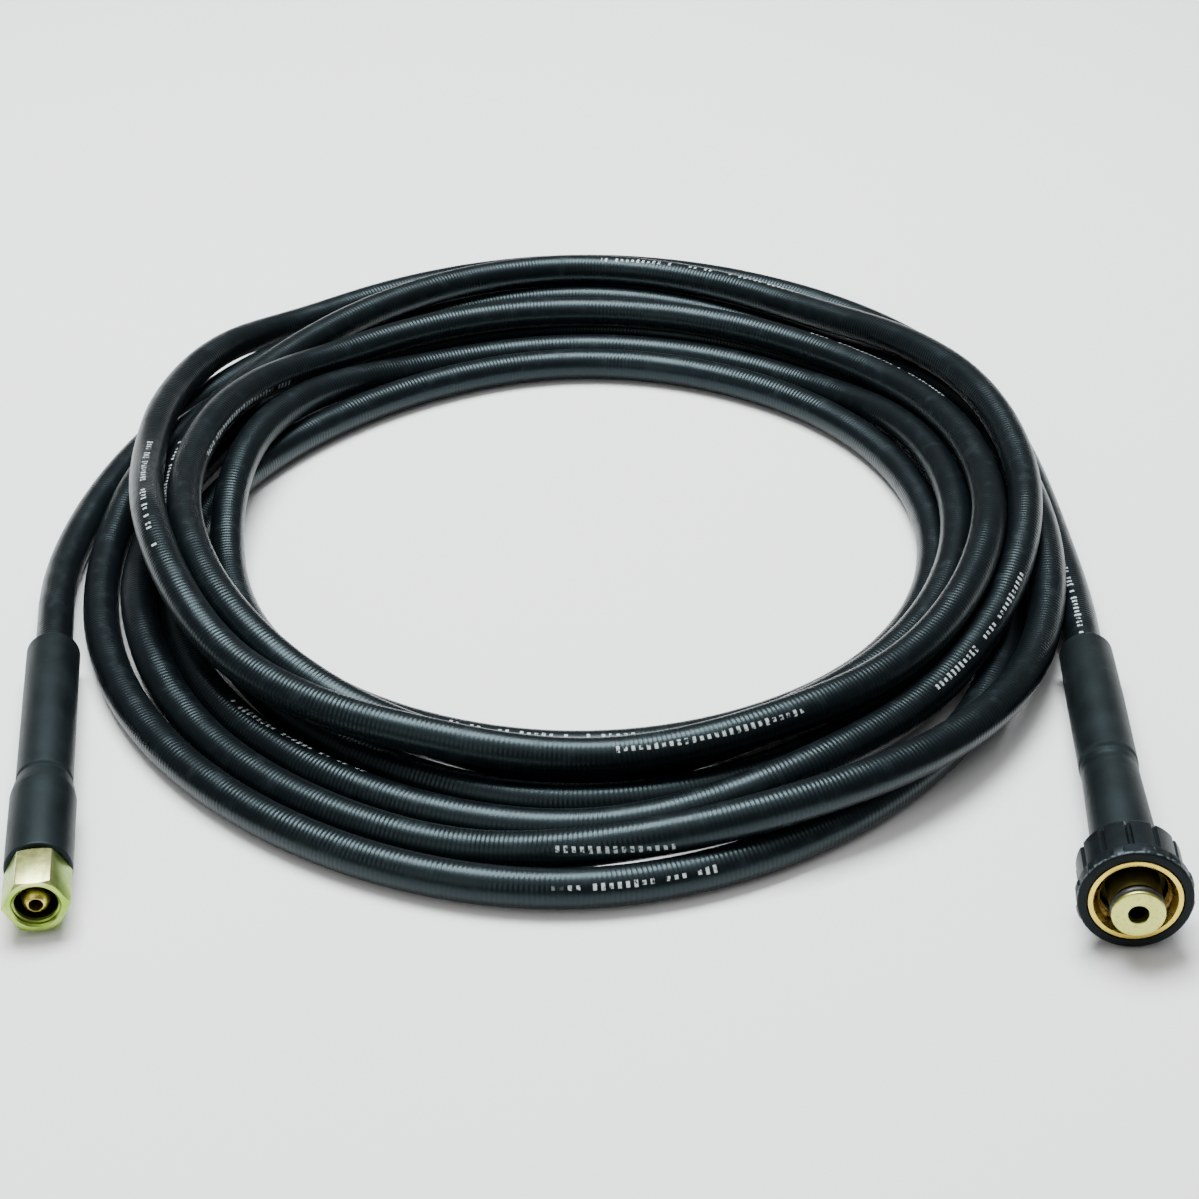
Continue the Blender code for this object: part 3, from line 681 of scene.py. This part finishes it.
def plated_finish(name, fitting, low, high, shaded_hollow):
    """Zinc plate under a yellow passivation, with painted light: straw on top, greener below; and
    painted shade in its recess.
    """
    material, place = new_finish(name, Metallic=1.0)
    own = lined_up(place, fitting)
    along, radius = own.part("Z"), own.off_axis()
    reach, behind = shaded_hollow
    # Painted shade: near black within the given radius and behind the given place along the axis
    painted_hollow_shade = (1.0 - radius.rise(reach, reach + 0.0004)) * (1.0 - along.rise(behind - 0.002, behind))
    wander = place.noise(400.0, 2.0)
    marks = ((radius + along) / TURNING_PITCH + wander * 2.0).waves()
    patches = place.noise(150.0, 4.0).rise(0.34, 0.68)
    bloom = place.noise(420.0, 5.0)
    spots = place.noise(1300.0, 4.0).rise(0.54, 0.72)
    # Painted light: the upper side is coloured lighter and straw, the lower sides greener
    painted_top_light = own.part("Y").rise(0.0070, 0.0083)
    base = (patches * 0.30 + painted_top_light * 0.70).blend(low, high)
    plated = (spots * 0.55).blend(base, (0.34, 0.30, 0.08))
    colour = painted_hollow_shade.blend(plated, (0.055, 0.052, 0.014))
    roughness = 0.24 + bloom * 0.18 + spots * 0.12 + painted_hollow_shade * 0.25
    feed(material, colour, roughness, marks * 0.35 + bloom * 0.8, 0.00001)
    return material


def drum_mesh(corners, radius, bottom, top, edge_width):
    """A prism along the fitting's axis, its upright edges broken by a small bevel."""
    drum = bmesh.new()
    start = Matrix.Translation((0.0, 0.0, bottom)) @ Matrix.Rotation(HEX_TURN, 4, "Z")
    bmesh.ops.create_circle(drum, cap_ends=True, segments=corners, radius=radius, matrix=start)
    risen = bmesh.ops.extrude_face_region(drum, geom=list(drum.faces))["geom"]
    lifted = [part for part in risen if isinstance(part, bmesh.types.BMVert)]
    bmesh.ops.translate(drum, verts=lifted, vec=(0.0, 0.0, top - bottom))
    bmesh.ops.recalc_face_normals(drum, faces=drum.faces)
    upright = [edge for edge in drum.edges if abs(edge.verts[0].co.z - edge.verts[1].co.z) > 1e-6]
    bmesh.ops.bevel(
        drum,
        geom=upright,
        offset=edge_width,
        affect="EDGES",
        segments=3,
        profile=0.5,
        material=-1,
    )
    mesh = bpy.data.meshes.new("drum")
    drum.to_mesh(mesh)
    drum.free()
    return mesh


def milled(body, tool_mesh, edge_width):
    """What the body and the tool share, with its sharp edges broken."""
    body_mesh = bpy.data.meshes.new("body")
    body.to_mesh(body_mesh)
    body.free()
    block = bpy.data.objects.new("block", body_mesh)
    tool = bpy.data.objects.new("tool", tool_mesh)
    for piece in (block, tool):
        bpy.context.scene.collection.objects.link(piece)
    mill = block.modifiers.new("mill", "BOOLEAN")
    mill.operation = "INTERSECT"
    mill.object = tool
    edges = block.modifiers.new("edges", "BEVEL")
    edges.width = edge_width
    edges.segments = 2
    edges.limit_method = "ANGLE"
    edges.angle_limit = math.radians(25)
    edges.use_clamp_overlap = True
    bpy.context.view_layer.update()
    graph = bpy.context.evaluated_depsgraph_get()
    mesh = bpy.data.meshes.new_from_object(block.evaluated_get(graph))
    for piece in (block, tool):
        bpy.data.objects.remove(piece)
    shell = bmesh.new()
    shell.from_mesh(mesh)
    bpy.data.meshes.remove(mesh)
    return shell


hex_front = NUT_START + HEX_LENGTH
hex_corner = HEX_FLATS / math.sqrt(3)
hex_floor = NUT_START + HEX_BACK_WALL
hex_rise = HEX_CHAMFER * math.tan(HEX_CHAMFER_SLOPE)
hex_blank = turned(
    rounded(
        [
            (hex_corner - HEX_CHAMFER, hex_front, 0.0),
            (hex_corner + HEX_SPARE, hex_front - hex_rise - HEX_SPARE_RISE, 0.0),
            (hex_corner + HEX_SPARE, NUT_START + hex_rise + HEX_SPARE_RISE, 0.0),
            (hex_corner - HEX_CHAMFER, NUT_START, 0.0),
            (LEFT_NECK + SWIVEL_GAP, NUT_START, 0.0),
            (LEFT_NECK + SWIVEL_GAP, hex_floor, 0.0),
            (HEX_BORE, hex_floor, 0.0),
            (HEX_BORE, hex_front - HEX_MOUTH_CHAMFER, 0.0),
            (HEX_BORE + HEX_MOUTH_CHAMFER, hex_front, 0.0),
        ]
    ),
    HEX_STEPS,
)
hex_prism = drum_mesh(
    6, hex_corner, NUT_START - HEX_PRISM_SPARE, hex_front + HEX_PRISM_SPARE, HEX_UPRIGHT_BREAK
)
hex_shell = milled(hex_blank, hex_prism, HEX_EDGE_BREAK)
hex_thread = thread(
    HEX_BORE,
    HEX_THREAD_DEPTH,
    HEX_THREAD_PITCH,
    hex_floor + HEX_THREAD_START,
    hex_front - HEX_MOUTH_CHAMFER,
)
hex_nut = set_piece(
    "swivel_nut",
    in_place(joined(hex_shell, hex_thread), left),
    plated_finish(
        "plated_nut",
        left,
        (0.27, 0.44, 0.05),
        (0.78, 0.80, 0.34),
        # Painted shade inside the bore, back from just behind the mouth
        (HEX_BORE + 0.0003, hex_front - 0.0012),
    ),
    "hex_nut",
    "plated_steel",
    "hex_nut",
)

# The left nipple: its collar carries the swivel nut, its ball nose seals in the connector's cone,
# and its ribbed tail sits in the hose's end.
left_collar = hex_floor + SWIVEL_GAP
left_cone = left_collar + LEFT_COLLAR_LENGTH
ball = BALL_DIAMETER / 2
ball_tip = hex_front - BALL_RECESS
nose = []
for step in range(BALL_STEPS + 1):
    lean = math.radians(BALL_LEAN - BALL_LEAN * step / BALL_STEPS)
    nose.append((ball * math.cos(lean), ball_tip - ball + ball * math.sin(lean), 0.0))
left_nipple = set_piece(
    "ball_nipple",
    in_place(
        turned(
            rounded(
                [
                    (BALL_BORE, nose[0][1], 0.0),
                    *nose,
                    (ball, left_cone + LEFT_CONE_LENGTH, 0.0006),
                    (HEX_BORE - SWIVEL_GAP, left_cone, 0.0002),
                    (HEX_BORE - SWIVEL_GAP, left_collar, 0.0002),
                    (LEFT_NECK, left_collar, 0.0002),
                    (LEFT_NECK, SLEEVE_MOUTH, 0.0),
                    (SHOULDER, SLEEVE_MOUTH, 0.0003),
                    *tail_outline(),
                    (TAIL_BORE, SLEEVE_MOUTH, 0.0),
                    (BALL_BORE, SLEEVE_MOUTH, 0.0),
                ]
            ),
            NIPPLE_STEPS,
        ),
        left,
    ),
    plated_finish(
        # The last pair bounds the painted shade on the nipple's side within the nut
        "plated_nipple", left, (0.68, 0.55, 0.13), (0.93, 0.80, 0.32), (HEX_BORE, ball_tip - 0.0040)
    ),
    "hose",
    "plated_steel",
    "nipple_left",
)


# The hand nut: a grooved black plastic nut moulded round a threaded brass insert, for doing up by
# hand. Twelve pads run along its grip, and each ends in a lug on the round flange at the mouth.
NUT_LENGTH = 0.0190
GRIP_RADIUS = 0.0148
FLANGE_RADIUS = 0.0162
FLANGE_LENGTH = 0.0050
NUT_ROUND = 0.0014
NUT_BACK_WALL = 0.0028
GRIP_PADS = 12
# How far the top pad and its lug are turned from straight up
GRIP_TURN = math.radians(-7)
GROOVE_DEPTH = 0.0009
GROOVE_ANGLE = math.radians(3.2)
GROOVE_WALL = math.radians(1.6)
PAD_CROWN = 0.00012
LUG_HALF_ANGLE = math.radians(6.2)
LUG_LENGTH = 0.0026
LUG_HEIGHT = 0.0004
LUG_SLOPE = 0.0004
INSERT_RADIUS = 0.0132
INSERT_GAP = 0.0003
INSERT_MOUTH = 0.0118
INSERT_BORE = 0.0103
INSERT_MOUTH_CHAMFER = 0.0020
INSERT_BACK_WALL = 0.0030
INSERT_THREAD_PITCH = 0.0015
INSERT_THREAD_DEPTH = 0.0006
INSERT_THREAD_START = 0.0042
INSERT_STEPS = 120
TOOL_RING_PITCH = 0.00026
RIGHT_NECK = 0.0065
NUT_STEPS = 240

nut_front = NUT_START + NUT_LENGTH
flange_start = nut_front - FLANGE_LENGTH
lug_back = nut_front - NUT_ROUND - LUG_LENGTH


def step_between(value, low, high):
    share = min(max((value - low) / (high - low), 0.0), 1.0)
    return share * share * (3 - 2 * share)


def grip_radius(vert):
    """The radius that the grip's pads, grooves and lugs give to a point of the turned blank."""
    radius = math.hypot(vert.co.x, vert.co.y)
    pad = math.tau / GRIP_PADS
    bearing = math.atan2(vert.co.y, vert.co.x) - math.pi / 2 - GRIP_TURN
    from_pad = abs((bearing + pad / 2) % pad - pad / 2)
    from_groove = pad / 2 - from_pad
    along = vert.co.z
    if radius > GRIP_RADIUS - 0.0020 and along < flange_start + 0.00001:
        deep = 1.0 - step_between(from_groove, GROOVE_ANGLE - GROOVE_WALL, GROOVE_ANGLE)
        crown = PAD_CROWN * (1.0 - (from_pad / (pad / 2)) ** 2)
        return radius - GROOVE_DEPTH * deep + crown * (radius > GRIP_RADIUS - 0.0001)
    if radius > GRIP_RADIUS + 0.0004 and along < nut_front - NUT_ROUND + 0.0001:
        beside = step_between(from_pad, LUG_HALF_ANGLE * 0.85, LUG_HALF_ANGLE)
        proud = step_between(along, lug_back, lug_back + LUG_SLOPE) * (1.0 - beside)
        return radius + LUG_HEIGHT * proud
    return radius


def plastic_finish():
    """Moulded nylon: a fine spark-eroded grain, slight sheen and pale scuffs from handling, with a
    painted highlight along the flange's front rim and painted shade on the front face.
    """
    tint = (0.72, 0.92, 1.0, 1.0)
    material, place = new_finish("nut_plastic", Specular_Tint=tint, Specular_IOR_Level=0.20)
    own = lined_up(place, right)
    along, radius = own.part("Z"), own.off_axis()
    # Painted shade: the front face is coloured darker and browner than the grip
    shaded_front_face = along.rise(nut_front - 0.0006, nut_front - 0.0002)
    # Painted highlight: a speckled pale line along the flange's rounded front rim
    rim = radius.rise(FLANGE_RADIUS - 0.0007, FLANGE_RADIUS - 0.0003)
    rim = rim * along.rise(nut_front - NUT_ROUND, nut_front - 0.0008)
    grain = place.noise(2200.0, 4.0)
    cloud = place.noise(120.0, 4.0)
    scuff = place.noise(520.0, 6.0).rise(0.60, 0.80)
    tone = cloud.rise(0.3, 0.7) * 0.5 + scuff * 0.35
    moulded = tone.blend((0.0016, 0.0022, 0.0030), (0.0085, 0.0120, 0.0145))
    painted_rim_highlight = rim * place.noise(900.0, 3.0).rise(0.42, 0.60) * 0.8
    with_rim_highlight = painted_rim_highlight.blend(moulded, (0.10, 0.125, 0.135))
    colour = shaded_front_face.blend(with_rim_highlight, (0.0022, 0.0017, 0.0014))
    roughness = 0.36 + grain * 0.14 + scuff * 0.08 + shaded_front_face * 0.12
    feed(material, colour, roughness, grain * 0.6 + cloud * 0.3, 0.00008)
    return material


nut_outline = rounded(
    [
        (INSERT_RADIUS + INSERT_GAP, nut_front, 0.0002),
        (FLANGE_RADIUS, nut_front, NUT_ROUND),
        (FLANGE_RADIUS, nut_front - NUT_ROUND - 0.0001, 0.0),
        (FLANGE_RADIUS, lug_back + LUG_SLOPE, 0.0),
        (FLANGE_RADIUS, lug_back, 0.0),
        (FLANGE_RADIUS, flange_start, 0.0006),
        (GRIP_RADIUS, flange_start, 0.0003),
        (GRIP_RADIUS, NUT_START, NUT_ROUND),
        (RIGHT_NECK + SWIVEL_GAP, NUT_START, 0.0003),
        (RIGHT_NECK + SWIVEL_GAP, NUT_START + NUT_BACK_WALL, 0.0),
        (INSERT_RADIUS + INSERT_GAP, NUT_START + NUT_BACK_WALL, 0.0),
    ]
)
nut_shell = turned(nut_outline, NUT_STEPS)
for vert in nut_shell.verts:
    wanted = grip_radius(vert)
    now = math.hypot(vert.co.x, vert.co.y)
    vert.co.x *= wanted / now
    vert.co.y *= wanted / now
hand_nut = set_piece(
    "hand_nut_grip",
    in_place(nut_shell, right),
    plastic_finish(),
    "hand_nut",
    "nut_plastic",
    "hand_nut",
)


# The brass insert: a turned ring with an inner thread, moulded into the hand nut, with which it
# turns. Its bright lip shows all round the mouth, and painted shade darkens its wall towards
# the floor.
def brass_finish():
    """Turned brass: a bright lip with some tarnish, golden walls with tool rings, and painted shade
    that darkens the walls towards the floor.
    """
    material, place = new_finish("brass", Metallic=1.0)
    own = lined_up(place, right)
    along, radius = own.part("Z"), own.off_axis()
    rings = ((radius + along) / TOOL_RING_PITCH).waves()
    tarnish = place.noise(300.0, 5.0).rise(0.35, 0.70)
    # Painted shade: the wall goes from golden to near black towards the insert's floor
    shaded_wall = along.rise(nut_front - 0.0095, nut_front - 0.0030)
    shaded_wall = shaded_wall.blend((0.030, 0.017, 0.006), (0.72, 0.47, 0.12))
    lip = (tarnish * 0.35).blend((0.78, 0.60, 0.10), (0.60, 0.41, 0.07))
    colour = along.rise(nut_front - 0.0010, nut_front - 0.0003).blend(shaded_wall, lip)
    feed(material, colour, 0.22 + tarnish * 0.16, rings * 0.4 + tarnish * 0.5, 0.000008)
    return material


insert_back = NUT_START + NUT_BACK_WALL + INSERT_GAP
insert_floor = insert_back + INSERT_BACK_WALL
insert_shell = turned(
    rounded(
        [
            (INSERT_MOUTH, nut_front, 0.0001),
            (INSERT_RADIUS, nut_front, 0.0002),
            (INSERT_RADIUS, insert_back, 0.0002),
            (RIGHT_NECK + SWIVEL_GAP, insert_back, 0.0),
            (RIGHT_NECK + SWIVEL_GAP, insert_floor, 0.0),
            (INSERT_BORE, insert_floor, 0.0),
            (INSERT_BORE, nut_front - INSERT_MOUTH_CHAMFER, 0.0001),
        ]
    ),
    INSERT_STEPS,
)
insert_thread = thread(
    INSERT_BORE,
    INSERT_THREAD_DEPTH,
    INSERT_THREAD_PITCH,
    insert_floor + INSERT_THREAD_START,
    nut_front - INSERT_MOUTH_CHAMFER,
    steps=72,
)
brass_insert = set_piece(
    "brass_insert",
    in_place(joined(insert_shell, insert_thread), right),
    brass_finish(),
    "hand_nut",
    "brass",
    "nut_insert",
)


# The right nipple: plated steel, crimped in the hose behind the hand nut, which its collar carries.
# Its plain pin goes into the pump's socket, where the rubber ring behind its face seals.
PIN_RADIUS = 0.0075
PIN_PROTRUSION = 0.0065
PIN_CHAMFER = 0.0006
PIN_BORE = 0.0029
PIN_BORE_DEPTH = 0.0220
RIGHT_COLLAR = 0.0093
RIGHT_COLLAR_LENGTH = 0.0040
RING_SECTION = 0.0024
RING_SETBACK = 0.0010
RING_STAND_OUT = 0.0002
RING_PLAY = 0.0003
RING_SIDES = 16
PIN_STEPS = 72

pin_face = nut_front + PIN_PROTRUSION
right_collar = insert_floor + SWIVEL_GAP
groove_front = pin_face - RING_SETBACK
groove_back = groove_front - RING_SECTION - 2 * RING_PLAY
groove_floor = PIN_RADIUS + RING_STAND_OUT - RING_SECTION - RING_PLAY
right_nipple = set_piece(
    "pin_nipple",
    in_place(
        turned(
            rounded(
                [
                    (PIN_BORE, pin_face, 0.0003),
                    (PIN_RADIUS, pin_face, PIN_CHAMFER),
                    (PIN_RADIUS, groove_front, 0.0001),
                    (groove_floor, groove_front, 0.0001),
                    (groove_floor, groove_back, 0.0001),
                    (PIN_RADIUS, groove_back, 0.0001),
                    (PIN_RADIUS, right_collar + RIGHT_COLLAR_LENGTH, 0.0003),
                    (RIGHT_COLLAR, right_collar + RIGHT_COLLAR_LENGTH, 0.0003),
                    (RIGHT_COLLAR, right_collar, 0.0002),
                    (RIGHT_NECK, right_collar, 0.0002),
                    (RIGHT_NECK, SLEEVE_MOUTH, 0.0),
                    (SHOULDER, SLEEVE_MOUTH, 0.0003),
                    *tail_outline(),
                    (TAIL_BORE, pin_face - PIN_BORE_DEPTH, 0.0),
                    (PIN_BORE, pin_face - PIN_BORE_DEPTH, 0.0),
                ]
            ),
            PIN_STEPS,
        ),
        right,
    ),
    plated_finish(
        "plated_pin",
        right,
        (0.56, 0.59, 0.14),
        (0.78, 0.77, 0.28),
        # Painted shade on the pin's side from just behind its face
        (RIGHT_COLLAR, pin_face - 0.0008),
    ),
    "hose",
    "plated_steel",
    "nipple_right",
)


# The seal ring: a round rubber ring in the groove behind the pin's face. It stands a little proud
# of the pin, so that it presses on the socket's wall.
def seal_finish():
    """Nitrile rubber with a thin film of grease on it."""
    material, place = new_finish("seal_rubber")
    smear = place.noise(700.0, 4.0).rise(0.45, 0.65)
    grain = place.noise(2500.0, 2.0)
    colour = smear.blend((0.006, 0.006, 0.007), (0.022, 0.022, 0.024))
    feed(material, colour, 0.50 - smear * 0.22, grain, 0.00004)
    return material


ring_radius = RING_SECTION / 2
ring_middle = PIN_RADIUS + RING_STAND_OUT - ring_radius
ring_along = groove_front - RING_PLAY - ring_radius
ring_outline = []
for step in range(RING_SIDES):
    lean = math.tau * step / RING_SIDES
    ring_outline.append(
        (ring_middle + ring_radius * math.cos(lean), ring_along + ring_radius * math.sin(lean))
    )
o_ring = set_piece(
    "seal_ring",
    in_place(turned(ring_outline, PIN_STEPS), right),
    seal_finish(),
    "hose",
    "seal_rubber",
    "o_ring",
)


# The studio: a plain white floor and an even pale surround, under one large soft box that gives
# the rubber long soft highlights on its upper side. A lower fill stands on the left, and a wide,
# weak light from straight above keeps the floor pale far from the hose.
FLOOR_HALF_SIDE = 6.0
FLOOR_DROP = 0.0002
SURROUND_STRENGTH = 0.17


def soft_box(name, place, aim, size, power, colour):
    lamp_data = bpy.data.lights.new(name, "AREA")
    lamp_data.shape = "RECTANGLE"
    lamp_data.size, lamp_data.size_y = size
    lamp_data.energy = power
    lamp_data.color = colour
    lamp = bpy.data.objects.new(name, lamp_data)
    lamp.location = place
    lamp.rotation_euler = (Vector(aim) - Vector(place)).to_track_quat("-Z", "Y").to_euler()
    bpy.context.scene.collection.objects.link(lamp)


soft_box("top_box", (-0.15, 0.35, 1.5), (0.0, 0.0, 0.0), (1.1, 0.7), 64.0, (0.95, 0.99, 1.0))
soft_box("front_fill", (-0.7, -1.2, 0.9), (0.0, -0.1, 0.0), (0.8, 0.8), 3.5, (1.0, 0.99, 0.97))

overhead_data = bpy.data.lights.new("overhead", "SUN")
overhead_data.energy = 1.1
overhead_data.angle = math.radians(70)
overhead = bpy.data.objects.new("overhead", overhead_data)
bpy.context.scene.collection.objects.link(overhead)

floor_mesh = bpy.data.meshes.new("floor")
floor_shell = bmesh.new()
bmesh.ops.create_grid(floor_shell, x_segments=1, y_segments=1, size=FLOOR_HALF_SIDE)
floor_shell.to_mesh(floor_mesh)
floor_shell.free()
floor_material, floor_place = new_finish("floor_white")
floor_tone = floor_place.noise(3.0, 2.0)
floor_colour = floor_tone.blend((0.92, 0.92, 0.92), (0.94, 0.94, 0.94))
feed(floor_material, floor_colour, 0.65 + floor_tone * 0.1)
floor_mesh.materials.append(floor_material)
floor = bpy.data.objects.new("floor", floor_mesh)
floor.location = (0.0, 0.0, -FLOOR_DROP)
bpy.context.scene.collection.objects.link(floor)

world = bpy.data.worlds.new("surround")
world.use_nodes = True
backdrop = world.node_tree.nodes["Background"]
backdrop.inputs["Color"].default_value = (1.0, 1.0, 1.0, 1.0)
backdrop.inputs["Strength"].default_value = SURROUND_STRENGTH
bpy.context.scene.world = world
